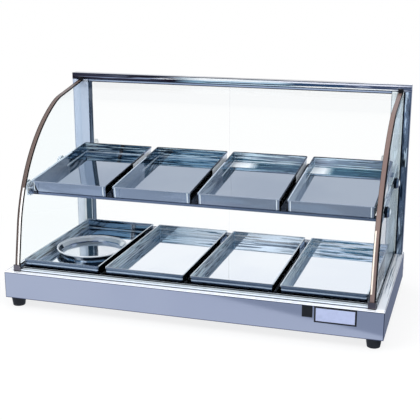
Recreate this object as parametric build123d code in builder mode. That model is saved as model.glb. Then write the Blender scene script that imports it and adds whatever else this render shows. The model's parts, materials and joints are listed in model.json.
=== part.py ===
from build123d import *
import os
from math import cos, radians, sin

os.makedirs("parts", exist_ok=True)

# Heated display case: a low folded base on four feet carries a rear frame, curved glass and
# two tiers of four trays. Millimetres, +X right, +Y to the rear, +Z up, feet stand on Z = 0.

# Base box
case_width = 750.0
base_depth = 360.0
base_height = 54.0
base_sheet = 1.2
base_edge_radius = 1.0
deck_edge_radius = 0.9
lip_width = 32.0
plate_sheet = 1.0
plate_gap = 0.4
vent_length = 60.0
vent_width = 5.0
vent_pitch = 14.0
vent_count = 6
vent_inset = 175.0

# Feet
foot_height = 20.0
foot_top_radius = 15.0
foot_bottom_radius = 12.0
foot_inset_x = 19.0
foot_inset_y = 19.0
foot_recess_radius = 5.5
foot_recess_depth = 9.0
foot_screw_radius = 2.0
foot_screw_head_radius = 4.2
foot_screw_head_height = 3.0
foot_screw_length = 17.0
foot_screw_nut_height = 3.2
foot_edge_radius = 1.0

# Rear frame
frame_top = 430.0
post_width = 39.0
post_depth = 20.0
post_wall = 1.5
post_inset = 3.0
beam_height = 14.0
frame_corner_radius = 1.2

# Curved glass
glass_thickness = 4.0
glass_setback = 12.4
arch_lean = 11.1
arch_straight = 83.0
arch_low_turn = 53.6
arch_high_radius = 121.0
arch_high_turn = 14.3
glass_rear_gap = 0.5
side_glass_inset = 22.0
glass_fit = 0.3

# Glass channels on the deck
channel_wall = 1.2
channel_height = 7.0
channel_floor = 1.0
channel_front_height = 4.2
channel_lean_room = 1.8
channel_joint_gap = 1.0

# Arch strips and their end fittings
strip_width = 10.6
strip_thickness = 2.5
strip_lift = 0.3
strip_shift = 4.0
strip_edge = 0.8
socket_height = 13.0
socket_wall = 1.6
clip_length = 10.0
clip_height = 6.0
clip_thickness = 1.6

# Trays
tray_row_margin = 27.0
tray_gap = 13.0
tray_height = 22.0
tray_sheet = 0.9
tray_hem_width = 2.2
tray_hem_height = 3.0
tray_corner_radius = 2.6
tray_tab_width = 11.0
tray_tab_height = 15.0
tray_tab_proud = 0.8
lower_tray_setback = 22.8
lower_tray_rear_gap = 28.0
upper_tray_front = 71.0
upper_tray_rear_gap = 27.5
shelf_drop = 21.5
shelf_tilt = 6.6
seat_gap = 0.2

# Round dish in the first lower tray
dish_side_gap = 6.0
dish_flare = 8.0
dish_height = 13.0
dish_sheet = 1.0
dish_rim_radius = 1.6
dish_shift_x = 2.5
dish_shift_y = -10.0

# Upper shelf
shelf_bar_width = 16.0
shelf_bar_height = 5.0
shelf_bar_corner_radius = 1.0
shelf_rear_bar_back = 6.0
rail_thickness = 2.5
rail_height = 24.0
rail_foot_width = 7.0
rail_overhang = 2.0
rail_glass_gap = 0.3
knob_radius = 10.5
knob_height = 11.0
knob_stud_radius = 3.0
knob_nut_radius = 4.5
knob_nut_height = 2.4
knob_front_back = 16.0
knob_rear_inset = 90.0
knob_rise = 8.0
stud_clearance = 0.3

# Sliding rear doors
door_thickness = 3.0
door_overlap = 20.0
door_side_gap = 0.6
door_corner_radius = 2.0
groove_clearance = 0.5
track_rib = 4.0
track_height = 9.0
track_floor = 2.0
upper_track_height = 6.0
upper_track_floor = 1.0
upper_track_play = 1.5
door_seat = 0.3
pull_width = 10.0
pull_height = 62.0
pull_proud = 3.4
pull_inset = 5.0
pull_scoop = 2.0
pull_rise = 5.0

# Controls on the rear of the base
knob_dial_radius = 17.0
dial_length = 16.0
dial_gap = 1.0
dial_skirt_height = 4.0
dial_grip_radius = 13.5
dial_ribs = 24
dial_rib_radius = 1.1
dial_inset = 125.0
dial_bore_depth = 11.2
dial_bore_radius = 3.05
shaft_radius = 3.0
shaft_reach = 9.6
shaft_hole_radius = 5.0
thermostat_width = 40.0
thermostat_height = 34.0
thermostat_length = 26.0
thermostat_corner_radius = 2.0
lamp_inset = 175.0
lamp_radius = 6.0
lamp_bezel_radius = 8.0
lamp_proud = 3.0
lamp_body_length = 20.0
gland_inset = 9.5
gland_drop = 13.0
gland_radius = 7.0
gland_nut_radius = 9.0
gland_proud = 17.0
gland_nut_length = 11.5
gland_taper = 2.0
gland_wall = 1.2
gland_inner_length = 6.0
gland_bore_radius = 3.5
gland_hole_clearance = 0.2

# Heating gear under the deck
element_radius = 3.25
element_spread = 120.0
element_end_margin = 95.0
element_bend_radius = 24.0
element_forward = 12.0
element_drop = 16.0
clip_width = 14.0
clip_sheet = 1.2
clip_end_inset = 60.0
clip_fit = 0.15
shield_sheet = 0.8
shield_drop = 30.0
shield_margin = 30.0
shield_rim = 10.0
block_length = 44.0
block_width = 20.0
block_height = 16.0
block_inset = 75.0
block_gap = 2.0
block_corner_radius = 1.5
block_hole_depth = 6.4

# Derived places. The overall footprint includes the dial behind the base, and it is centred.
rear_proud = max(dial_gap + dial_length, gland_proud)
base_y = -rear_proud / 2
base_front = base_y - base_depth / 2
base_rear = base_y + base_depth / 2
deck_z = foot_height + base_height
post_front = base_rear - post_depth
post_top = frame_top - beam_height
post_x = case_width / 2 - post_inset - post_width / 2
post_inner_x = post_x - post_width / 2
glass_front = base_front + glass_setback
channel_z = deck_z + channel_floor
glass_foot_z = channel_z + seat_gap
glass_rear = post_front - glass_rear_gap
side_glass_x = case_width / 2 - side_glass_inset
strip_x = side_glass_x + glass_thickness / 2 - strip_shift
front_half = side_glass_x + glass_thickness
tray_pitch = (case_width - 2 * tray_row_margin) / 4
tray_width = tray_pitch - tray_gap
row_x = [tray_pitch * (i - 1.5) for i in range(4)]
lower_tray_length = base_depth - lower_tray_setback - lower_tray_rear_gap
upper_tray_length = base_depth - upper_tray_front - upper_tray_rear_gap
upper_tray_z = (deck_z + post_top) / 2 - shelf_drop
knob_rear_back = upper_tray_length - knob_rear_inset
dish_radius = tray_width / 2 - dish_side_gap
dish_floor_radius = dish_radius - dish_flare
vent_centre_x = case_width / 2 - vent_inset
control_z = foot_height + base_height / 2
dial_x = case_width / 2 - dial_inset
lamp_x = case_width / 2 - lamp_inset
gland_x = case_width / 2 - gland_inset
gland_z = control_z - gland_drop
element_length = case_width - 2 * element_end_margin
clip_pitch = element_length / 2 - clip_end_inset
block_x = case_width / 2 - block_inset

# The low arc's radius is the one that brings the strips' upper ends up under the beam
strip_rear = post_front - glass_fit
lean_sin, lean_cos = sin(radians(arch_lean)), cos(radians(arch_lean))
mid_sin, mid_cos = sin(radians(arch_lean + arch_low_turn)), cos(radians(arch_lean + arch_low_turn))
end_sin = sin(radians(arch_lean + arch_low_turn + arch_high_turn))
end_cos = cos(radians(arch_lean + arch_low_turn + arch_high_turn))
strip_outset = strip_lift + strip_thickness
arch_y = glass_front + arch_straight * lean_sin + arch_high_radius * (mid_cos - end_cos)
arch_z = channel_z + arch_straight * lean_cos + arch_high_radius * (end_sin - mid_sin)
arch_target = post_top - seat_gap - strip_outset / end_sin
arch_low_radius = (arch_target - arch_z - (strip_rear - arch_y) * end_cos / end_sin) / (
    mid_sin - lean_sin - (lean_cos - mid_cos) * end_cos / end_sin)

# The upper shelf and its trays lie on one plane that rises to the rear
shelf_rise = radians(shelf_tilt)
shelf = Plane(origin=(0, base_front + upper_tray_front, upper_tray_z), x_dir=(1, 0, 0),
              z_dir=(0, -sin(shelf_rise), cos(shelf_rise)))
stud_spots = [
    (shelf.origin.Y + back * cos(shelf_rise) - knob_rise * sin(shelf_rise),
     shelf.origin.Z + back * sin(shelf_rise) + knob_rise * cos(shelf_rise))
    for back in (knob_front_back, knob_rear_back)
]


def save(part, label):
    part.label = label
    export_step(part, f"parts/{label}.step")


# Base deck: a flat sheet that carries everything above, its rim rounded over the skirts
with BuildPart() as base_deck:
    with BuildSketch(Plane.XY.offset(deck_z - base_sheet)):
        with Locations((0, base_y)):
            RectangleRounded(case_width, base_depth, base_edge_radius)
    extrude(amount=base_sheet)
    fillet(base_deck.faces().sort_by(Axis.Z)[-1].edges(), deck_edge_radius)
save(base_deck.part, "base_deck")

# Base skirts: folded sheets under the deck, their lower edge turned inward as a lip.
# The front and rear ones run the full width, and the side ones fit between them.
skirt_height = base_height - base_sheet
for name, side in (("base_skirt_front", -1), ("base_skirt_rear", 1)):
    wall_y = base_y + side * (base_depth - base_sheet) / 2
    with BuildPart() as skirt:
        with BuildSketch(Plane.XY.offset(foot_height)):
            with Locations((0, wall_y)):
                Rectangle(case_width, base_sheet)
        extrude(amount=skirt_height)
        fillet(skirt.edges().filter_by(Axis.Z).sort_by(Axis.Y)[::side][-2:], base_edge_radius)
        with BuildSketch(Plane.XY.offset(foot_height)):
            with Locations((0, wall_y - side * (base_sheet + lip_width) / 2)):
                Rectangle(case_width - 2 * base_sheet, lip_width)
            # screw holes over the feet
            with Locations((0, base_y + side * (base_depth / 2 - foot_inset_y))):
                with GridLocations(case_width - 2 * foot_inset_x, 1, 2, 1):
                    Circle(foot_screw_radius + stud_clearance, mode=Mode.SUBTRACT)
        extrude(amount=base_sheet)
        if side > 0:
            # holes for the dial shaft, the lamp and the cable gland
            with BuildSketch(Plane(origin=(0, base_rear + 1, 0), x_dir=(1, 0, 0), z_dir=(0, -1, 0))):
                with Locations((dial_x, control_z)):
                    Circle(shaft_hole_radius)
                with Locations((lamp_x, control_z)):
                    Circle(lamp_radius + gland_hole_clearance)
                with Locations((gland_x, gland_z)):
                    Circle(gland_radius + gland_hole_clearance)
            extrude(amount=base_sheet + 2, mode=Mode.SUBTRACT)
    save(skirt.part, name)

for name, side in (("base_skirt_left", -1), ("base_skirt_right", 1)):
    wall_x = side * (case_width - base_sheet) / 2
    with BuildPart() as skirt:
        with BuildSketch(Plane.XY.offset(foot_height)):
            with Locations((wall_x, base_y)):
                Rectangle(base_sheet, base_depth - 2 * base_sheet)
        extrude(amount=skirt_height)
        with BuildSketch(Plane.XY.offset(foot_height)):
            with Locations((wall_x - side * (base_sheet + lip_width) / 2, base_y)):
                Rectangle(lip_width, base_depth - 2 * base_sheet - 2 * lip_width)
        extrude(amount=base_sheet)
    save(skirt.part, name)

# Base plate: a sheet on top of the lip, with two groups of air slots
with BuildPart() as base_plate:
    with BuildSketch(Plane.XY.offset(foot_height + base_sheet)):
        with Locations((0, base_y)):
            Rectangle(case_width - 2 * base_sheet - 2 * plate_gap, base_depth - 2 * base_sheet - 2 * plate_gap)
            with GridLocations(2 * vent_centre_x, vent_pitch, 2, vent_count):
                SlotOverall(vent_length, vent_width, mode=Mode.SUBTRACT)
            with GridLocations(case_width - 2 * foot_inset_x, base_depth - 2 * foot_inset_y, 2, 2):
                Circle(foot_screw_radius + stud_clearance, mode=Mode.SUBTRACT)
    extrude(amount=plate_sheet)
save(base_plate.part, "base_plate")

# Feet: tapered rubber with a recess below for the screw head
foot_x = case_width / 2 - foot_inset_x
foot_spots = {
    "foot_front_left": (-foot_x, base_front + foot_inset_y),
    "foot_front_right": (foot_x, base_front + foot_inset_y),
    "foot_rear_left": (-foot_x, base_rear - foot_inset_y),
    "foot_rear_right": (foot_x, base_rear - foot_inset_y),
}
for name, (x, y) in foot_spots.items():
    with BuildPart() as foot:
        with BuildSketch(Plane(origin=(x, y, 0), x_dir=(1, 0, 0), z_dir=(0, -1, 0))):
            with BuildLine():
                Polyline((0, 0), (foot_bottom_radius, 0), (foot_top_radius, foot_height), (0, foot_height), close=True)
            make_face()
        revolve(axis=Axis((x, y, 0), (0, 0, 1)))
        fillet(foot.faces().sort_by(Axis.Z)[0].edges(), foot_edge_radius)
        with BuildSketch(Plane(origin=(x, y, 0))):
            Circle(foot_recess_radius)
        extrude(amount=foot_recess_depth, mode=Mode.SUBTRACT)
        with BuildSketch(Plane(origin=(x, y, foot_recess_depth))):
            Circle(foot_screw_radius + stud_clearance)
        extrude(amount=foot_height, mode=Mode.SUBTRACT)
    save(foot.part, name)

# Foot screws: pan heads up in the recesses, with a nut above the plate
with BuildPart() as foot_screws:
    with Locations(*[(x, y, foot_recess_depth) for x, y in foot_spots.values()]):
        Cylinder(foot_screw_radius, foot_screw_length, align=(Align.CENTER, Align.CENTER, Align.MIN))
        Cylinder(foot_screw_head_radius, foot_screw_head_height, align=(Align.CENTER, Align.CENTER, Align.MAX))
    with BuildSketch(Plane.XY.offset(foot_height + base_sheet + plate_sheet)):
        with Locations(*foot_spots.values()):
            RegularPolygon(2 * foot_screw_radius, 6)
    extrude(amount=foot_screw_nut_height)
save(foot_screws.part, "foot_screws")

# Rear posts: square tubes that stand on the deck
for name, side in (("post_left", -1), ("post_right", 1)):
    with BuildPart() as post:
        with BuildSketch(Plane.XY.offset(deck_z)):
            with Locations((side * post_x, base_rear - post_depth / 2)):
                RectangleRounded(post_width, post_depth, frame_corner_radius)
                Rectangle(post_width - 2 * post_wall, post_depth - 2 * post_wall, mode=Mode.SUBTRACT)
        extrude(amount=post_top - deck_z)
    save(post.part, name)

# Top beam: a tube across both posts, closed at its ends
with BuildPart() as top_beam:
    with BuildSketch(Plane.YZ):
        with Locations((base_rear - post_depth / 2, frame_top - beam_height / 2)):
            RectangleRounded(post_depth, beam_height, frame_corner_radius)
    extrude(amount=case_width / 2 - post_inset, both=True)
    with BuildSketch(Plane.YZ):
        with Locations((base_rear - post_depth / 2, frame_top - beam_height / 2)):
            Rectangle(post_depth - 2 * post_wall, beam_height - 2 * post_wall)
    extrude(amount=case_width / 2 - post_inset - post_wall, both=True, mode=Mode.SUBTRACT)
save(top_beam.part, "top_beam")

# Door grooves in both tracks: the front one carries the left door
groove = door_thickness + 2 * groove_clearance
track_depth = 3 * track_rib + 2 * groove
track_front = post_front + (post_depth - track_depth) / 2
front_groove_y = track_front + track_rib + groove / 2
rear_groove_y = front_groove_y + groove + track_rib
track_half = post_inner_x - door_side_gap / 2

with BuildPart() as track_lower:
    with BuildSketch(Plane.YZ):
        with Locations((track_front + track_depth / 2, deck_z + track_height / 2)):
            Rectangle(track_depth, track_height)
        for y in (front_groove_y, rear_groove_y):
            with Locations((y, deck_z + track_floor + track_height / 2)):
                Rectangle(groove, track_height, mode=Mode.SUBTRACT)
    extrude(amount=track_half, both=True)
save(track_lower.part, "track_lower")

with BuildPart() as track_upper:
    with BuildSketch(Plane.YZ):
        with Locations((track_front + track_depth / 2, post_top - upper_track_height / 2)):
            Rectangle(track_depth, upper_track_height)
        for y in (front_groove_y, rear_groove_y):
            with Locations((y, post_top - upper_track_floor - upper_track_height / 2)):
                Rectangle(groove, upper_track_height, mode=Mode.SUBTRACT)
    extrude(amount=track_half, both=True)
save(track_upper.part, "track_upper")

# Sliding doors with a slim scooped pull bonded near each outer edge
door_bottom = deck_z + track_floor + door_seat
door_top = post_top - upper_track_floor - upper_track_play
pull_centre_z = (door_bottom + door_top) / 2 + pull_rise
door_reach = track_half - door_side_gap
door_width = door_reach + door_overlap / 2
for name, side, y in (("left", -1, front_groove_y), ("right", 1, rear_groove_y)):
    door_x = side * (door_reach - door_width / 2)
    pull_x = side * (door_reach - pull_inset - pull_width / 2)
    with BuildPart() as door:
        with BuildSketch(Plane(origin=(door_x, y + door_thickness / 2, (door_bottom + door_top) / 2),
                               x_dir=(1, 0, 0), z_dir=(0, -1, 0))):
            RectangleRounded(door_width, door_top - door_bottom, door_corner_radius)
        extrude(amount=door_thickness)
    save(door.part, f"door_{name}")
    with BuildPart() as pull:
        with BuildSketch(Plane(origin=(pull_x, y + door_thickness / 2, pull_centre_z),
                               x_dir=(-1, 0, 0), z_dir=(0, 1, 0))):
            RectangleRounded(pull_width, pull_height, pull_width / 2.5)
        extrude(amount=pull_proud)
        # the scoop for a fingertip runs across the outer face
        with BuildSketch(Plane(origin=(pull_x, y + door_thickness / 2 + pull_proud, pull_centre_z),
                               x_dir=(-1, 0, 0), z_dir=(0, 1, 0))):
            SlotOverall(pull_height - 2 * pull_inset, pull_width / 2, rotation=90)
        extrude(amount=-pull_scoop, taper=20, mode=Mode.SUBTRACT)
    save(pull.part, f"pull_{name}")


# The arch: a short lean, a wide arc, a tighter arc, then straight back to the rear frame.
# Each curve is the outer face of the front glass moved inward by a distance.
def arch_points(inward, foot_z, rear_y):
    lean = radians(arch_lean)
    mid = radians(arch_lean + arch_low_turn)
    end = radians(arch_lean + arch_low_turn + arch_high_turn)
    low, high = arch_low_radius - inward, arch_high_radius - inward
    y0 = glass_front + inward * cos(lean)
    z0 = channel_z - inward * sin(lean)
    y1, z1 = y0 + arch_straight * sin(lean), z0 + arch_straight * cos(lean)
    y2, z2 = y1 + low * (cos(lean) - cos(mid)), z1 + low * (sin(mid) - sin(lean))
    y3, z3 = y2 + high * (cos(mid) - cos(end)), z2 + high * (sin(end) - sin(mid))
    foot = (y1 - (z1 - foot_z) * sin(lean) / cos(lean), foot_z)
    rear = (rear_y, z3 + (rear_y - y3) * cos(end) / sin(end))
    return foot, (y1, z1), (y2, z2), (y3, z3), rear


def arch_curve(inward, foot_z, rear_y):
    foot, p1, p2, p3, rear = arch_points(inward, foot_z, rear_y)
    lean, mid = radians(arch_lean), radians(arch_lean + arch_low_turn)
    Line(foot, p1)
    TangentArc(p1, p2, tangent=(sin(lean), cos(lean)))
    TangentArc(p2, p3, tangent=(sin(mid), cos(mid)))
    Line(p3, rear)
    return foot, rear


# Front glass: one bent sheet between the side panes' outer faces
with BuildPart() as front_glass:
    with BuildSketch(Plane.YZ):
        with BuildLine():
            a, b = arch_curve(0, glass_foot_z, glass_rear)
            c, d = arch_curve(glass_thickness, glass_foot_z, glass_rear)
            Line(a, c)
            Line(b, d)
        make_face()
    extrude(amount=front_half, both=True)
save(front_glass.part, "front_glass")

# Side glass: flat panes whose curved edge runs just under the bent sheet
side_inward = glass_thickness + glass_fit
side_rear = post_front - glass_fit
for name, side in (("side_glass_left", -1), ("side_glass_right", 1)):
    plane = Plane.YZ.offset(side_glass_x if side > 0 else -side_glass_x - glass_thickness)
    with BuildPart() as pane:
        with BuildSketch(plane):
            with BuildLine():
                a, b = arch_curve(side_inward, glass_foot_z, side_rear)
                Polyline(b, (side_rear, glass_foot_z), a)
            make_face()
        extrude(amount=glass_thickness)
        # holes for the shelf studs
        with BuildSketch(plane):
            with Locations(*stud_spots):
                Circle(knob_stud_radius + stud_clearance)
        extrude(amount=glass_thickness, mode=Mode.SUBTRACT)
    save(pane.part, name)

# Glass channels: one across the front, one under each side pane
front_channel_rear = glass_front + glass_thickness + 2 * glass_fit + channel_lean_room
with BuildPart() as front_channel:
    with BuildSketch(Plane.YZ):
        with BuildLine():
            Polyline(
                (glass_front - glass_fit - channel_wall, deck_z),
                (front_channel_rear + channel_wall, deck_z),
                (front_channel_rear + channel_wall, deck_z + channel_height),
                (front_channel_rear, deck_z + channel_height),
                (front_channel_rear, channel_z),
                (glass_front - glass_fit, channel_z),
                (glass_front - glass_fit, deck_z + channel_front_height),
                (glass_front - glass_fit - channel_wall, deck_z + channel_front_height),
                close=True,
            )
        make_face()
    extrude(amount=strip_x - strip_width / 2 - socket_wall - 2 * glass_fit, both=True)
save(front_channel.part, "front_channel")

side_channel_front = front_channel_rear + channel_wall + channel_joint_gap
for name, side in (("side_channel_left", -1), ("side_channel_right", 1)):
    centre = side * (side_glass_x + glass_thickness / 2)
    half = glass_thickness / 2 + glass_fit
    with BuildPart() as channel:
        with BuildSketch(Plane(origin=(0, side_channel_front, 0), x_dir=(1, 0, 0), z_dir=(0, -1, 0))):
            with BuildLine():
                Polyline(
                    (centre - half - channel_wall, deck_z),
                    (centre + half + channel_wall, deck_z),
                    (centre + half + channel_wall, deck_z + channel_height),
                    (centre + half, deck_z + channel_height),
                    (centre + half, channel_z),
                    (centre - half, channel_z),
                    (centre - half, deck_z + channel_height),
                    (centre - half - channel_wall, deck_z + channel_height),
                    close=True,
                )
            make_face()
        extrude(amount=-(post_front - seat_gap - side_channel_front))
    save(channel.part, name)

# Arch strips: flat bars bent along the outside of the glass edge
strip_foot_z = deck_z + channel_floor
for name, side in (("arch_left", -1), ("arch_right", 1)):
    with BuildPart() as arch:
        with BuildSketch(Plane.YZ.offset(side * strip_x - strip_width / 2)):
            with BuildLine():
                a, b = arch_curve(-strip_lift, strip_foot_z, strip_rear)
                c, d = arch_curve(-strip_outset, strip_foot_z, strip_rear)
                Line(a, c)
                Line(b, d)
            make_face()
        extrude(amount=strip_width)
        fillet(arch.faces().sort_by(Axis.X)[-1].edges(), strip_edge)
        fillet(arch.faces().sort_by(Axis.X)[0].edges(), strip_edge)
    save(arch.part, name)

# Arch sockets: a bright U round the foot of each strip
strip_front = glass_front - strip_outset
socket_front = strip_front - seat_gap - socket_wall
for name, side in (("arch_socket_left", -1), ("arch_socket_right", 1)):
    with BuildPart() as socket:
        with BuildSketch(Plane.XY.offset(deck_z)):
            with BuildLine():
                half = strip_width / 2 + seat_gap
                x = side * strip_x
                Polyline(
                    (x - half - socket_wall, socket_front),
                    (x + half + socket_wall, socket_front),
                    (x + half + socket_wall, glass_front - glass_fit),
                    (x + half, glass_front - glass_fit),
                    (x + half, strip_front - seat_gap),
                    (x - half, strip_front - seat_gap),
                    (x - half, glass_front - glass_fit),
                    (x - half - socket_wall, glass_front - glass_fit),
                    close=True,
                )
            make_face()
        extrude(amount=socket_height)
        fillet(socket.faces().sort_by(Axis.Y)[0].edges(), socket_wall / 3)
    save(socket.part, name)

# Arch clips: an angle over the strip's upper end, fixed to the beam's front face
strip_top_z = arch_points(-strip_outset, strip_foot_z, strip_rear)[-1][1]
clip_z = max(strip_top_z + seat_gap, post_top)
for name, side in (("arch_clip_left", -1), ("arch_clip_right", 1)):
    with BuildPart() as clip:
        with BuildSketch(Plane.YZ.offset(side * strip_x - strip_width / 2)):
            with BuildLine():
                Polyline(
                    (post_front - clip_length, clip_z),
                    (post_front, clip_z),
                    (post_front, clip_z + clip_height),
                    (post_front - clip_thickness, clip_z + clip_height),
                    (post_front - clip_thickness, clip_z + clip_thickness),
                    (post_front - clip_length, clip_z + clip_thickness),
                    close=True,
                )
            make_face()
        extrude(amount=strip_width)
        fillet(clip.edges().filter_by(Axis.X).sort_by(Axis.Z)[-2:], clip_thickness / 3)
    save(clip.part, name)

# Shelf rails: angles inside the side panes, their feet under the bars
bar_half = side_glass_x - rail_glass_gap - rail_thickness - seat_gap
bar_z = -seat_gap - shelf_bar_height
for name, side in (("shelf_rail_left", -1), ("shelf_rail_right", 1)):
    outer = side * (side_glass_x - rail_glass_gap)
    inner = side * (side_glass_x - rail_glass_gap - rail_thickness)
    toe = side * (side_glass_x - rail_glass_gap - rail_thickness - rail_foot_width)
    rail_plane = Plane(origin=shelf.origin, x_dir=(1, 0, 0), z_dir=(0, -cos(shelf_rise), -sin(shelf_rise)))
    with BuildPart() as rail:
        with BuildSketch(rail_plane.offset(rail_overhang)):
            with BuildLine():
                Polyline(
                    (outer, bar_z - rail_thickness),
                    (outer, bar_z - rail_thickness + rail_height),
                    (inner, bar_z - rail_thickness + rail_height),
                    (inner, bar_z),
                    (toe, bar_z),
                    (toe, bar_z - rail_thickness),
                    close=True,
                )
            make_face()
        extrude(amount=-(upper_tray_length - shelf_rear_bar_back + rail_overhang))
        with BuildSketch(Plane.YZ.offset(min(outer, inner) - 1)):
            with Locations(*stud_spots):
                Circle(knob_stud_radius + stud_clearance)
        extrude(amount=rail_thickness + 2, mode=Mode.SUBTRACT)
    save(rail.part, name)

# Shelf bars: flat bars under the front and rear edges of the upper trays
for name, y in (("shelf_front_bar", shelf_bar_width / 2),
                ("shelf_rear_bar", upper_tray_length - shelf_rear_bar_back - shelf_bar_width / 2)):
    with BuildPart() as bar:
        with BuildSketch(shelf.offset(bar_z)):
            with Locations((0, y)):
                RectangleRounded(2 * bar_half, shelf_bar_width, shelf_bar_corner_radius)
        extrude(amount=shelf_bar_height)
    save(bar.part, name)

# Glass knobs: a dome outside the pane on a stud, with a nut inside the rail
for name, side in (("glass_knobs_left", -1), ("glass_knobs_right", 1)):
    pane_face = side_glass_x + glass_thickness
    nut_face = side_glass_x - rail_glass_gap - rail_thickness
    with BuildPart() as knobs:
        for y, z in stud_spots:
            at = Plane(origin=(side * nut_face, y, z), x_dir=(0, 1, 0), z_dir=(side, 0, 0))
            with BuildSketch(Plane(origin=(side * nut_face, y, z), x_dir=(side, 0, 0), z_dir=(0, -side, 0))):
                with BuildLine():
                    edge = pane_face - nut_face
                    Polyline(
                        (-knob_nut_height, 0),
                        (-knob_nut_height, knob_stud_radius),
                        (edge, knob_stud_radius),
                        (edge, knob_radius),
                        (edge + knob_height * 0.3, knob_radius),
                    )
                    EllipticalCenterArc((edge + knob_height * 0.3, 0), knob_height * 0.7, knob_radius,
                                        start_angle=0, arc_size=90)
                    Line((edge + knob_height, 0), (-knob_nut_height, 0))
                make_face()
            revolve(axis=Axis((0, y, z), (1, 0, 0)))
            with BuildSketch(at.offset(-knob_nut_height)):
                RegularPolygon(knob_nut_radius, 6)
            extrude(amount=knob_nut_height)
    save(knobs.part, name)


# Trays: folded pans with a hemmed rim and lapped corner tabs on the front and rear
def build_tray(plane, x, length, label):
    step = tray_hem_width - tray_sheet
    wall_width, wall_length = tray_width - 2 * step, length - 2 * step
    with BuildPart() as tray:
        with BuildSketch(plane):
            with Locations((x, length / 2)):
                RectangleRounded(wall_width, wall_length, tray_corner_radius)
        extrude(amount=tray_height)
        offset(amount=-tray_sheet, openings=tray.faces().sort_by(Axis(plane.origin, plane.z_dir))[-1])
        with BuildSketch(plane.offset(tray_height - tray_hem_height)):
            with Locations((x, length / 2)):
                RectangleRounded(tray_width, length, tray_corner_radius + step)
                RectangleRounded(wall_width - 2 * tray_sheet, wall_length - 2 * tray_sheet,
                                 tray_corner_radius - tray_sheet, mode=Mode.SUBTRACT)
        extrude(amount=tray_hem_height)
        tab_y = wall_length / 2 + tray_tab_proud / 2
        tab_x = wall_width / 2 - tray_corner_radius - tray_tab_width / 2
        with BuildSketch(plane.offset(tray_height - tray_hem_height - tray_tab_height)):
            with Locations((x, length / 2)):
                with GridLocations(2 * tab_x, 2 * tab_y, 2, 2):
                    Rectangle(tray_tab_width, tray_tab_proud)
        extrude(amount=tray_tab_height)
    save(tray.part, label)


deck_plane = Plane(origin=(0, base_front + lower_tray_setback, deck_z + seat_gap), x_dir=(1, 0, 0), z_dir=(0, 0, 1))
for i, x in enumerate(row_x, 1):
    build_tray(deck_plane, x, lower_tray_length, f"tray_lower_{i}")
    build_tray(shelf, x, upper_tray_length, f"tray_upper_{i}")

# Round dish: a shallow spun pan with a rolled rim, standing on the first lower tray's floor
dish_x = row_x[0] + dish_shift_x
dish_y = base_front + lower_tray_setback + lower_tray_length / 2 + dish_shift_y
dish_z = deck_z + seat_gap + tray_sheet + seat_gap
with BuildPart() as dish:
    with BuildSketch(Plane(origin=(dish_x, dish_y, dish_z), x_dir=(1, 0, 0), z_dir=(0, -1, 0))):
        with BuildLine():
            wall_in = dish_sheet
            Polyline(
                (0, 0),
                (dish_floor_radius, 0),
                (dish_radius - dish_rim_radius, dish_height - dish_rim_radius),
                (dish_radius - dish_rim_radius - wall_in, dish_height - dish_rim_radius),
                (dish_floor_radius - wall_in * 0.6, dish_sheet),
                (0, dish_sheet),
                close=True,
            )
        make_face()
        with Locations((dish_radius - dish_rim_radius, dish_height - dish_rim_radius)):
            Circle(dish_rim_radius)
    revolve(axis=Axis((dish_x, dish_y, 0), (0, 0, 1)))
save(dish.part, "water_dish")

# Thermostat dial: a skirt and a ribbed grip on the shaft
dial_front = base_rear + dial_gap
with BuildPart() as dial:
    with BuildSketch(Plane(origin=(dial_x, dial_front, control_z), x_dir=(1, 0, 0), z_dir=(0, -1, 0))):
        Circle(knob_dial_radius)
    extrude(amount=-dial_skirt_height)
    with BuildSketch(Plane(origin=(dial_x, dial_front + dial_skirt_height, control_z), x_dir=(1, 0, 0), z_dir=(0, -1, 0))):
        Circle(dial_grip_radius)
        with PolarLocations(dial_grip_radius, dial_ribs):
            Circle(dial_rib_radius)
    extrude(amount=-(dial_length - dial_skirt_height))
    with BuildSketch(Plane(origin=(dial_x, dial_front, control_z), x_dir=(1, 0, 0), z_dir=(0, -1, 0))):
        Circle(dial_bore_radius)
    extrude(amount=-dial_bore_depth, mode=Mode.SUBTRACT)
save(dial.part, "thermostat_dial")

# Thermostat: a body against the rear wall with the dial's shaft
wall_inside = base_rear - base_sheet
with BuildPart() as thermostat:
    with BuildSketch(Plane(origin=(dial_x, wall_inside, control_z), x_dir=(1, 0, 0), z_dir=(0, -1, 0))):
        RectangleRounded(thermostat_width, thermostat_height, thermostat_corner_radius)
    extrude(amount=thermostat_length)
    with BuildSketch(Plane(origin=(dial_x, wall_inside, control_z), x_dir=(1, 0, 0), z_dir=(0, -1, 0))):
        Circle(shaft_radius)
    extrude(amount=-(base_sheet + dial_gap + shaft_reach))
save(thermostat.part, "thermostat_body")

# Pilot lamp: bezel and domed lens outside, barrel through the wall
with BuildPart() as lamp:
    with BuildSketch(Plane(origin=(lamp_x, base_rear, control_z), x_dir=(0, 0, 1), z_dir=(1, 0, 0))):
        with BuildLine():
            Polyline((0, lamp_body_length), (lamp_radius, lamp_body_length), (lamp_radius, 0),
                     (lamp_bezel_radius, 0), (lamp_bezel_radius, -lamp_proud * 0.5),
                     (lamp_radius, -lamp_proud * 0.5), (lamp_radius * 0.5, -lamp_proud), (0, -lamp_proud), close=True)
        make_face()
    revolve(axis=Axis((lamp_x, 0, control_z), (0, 1, 0)))
save(lamp.part, "pilot_lamp")

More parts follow.
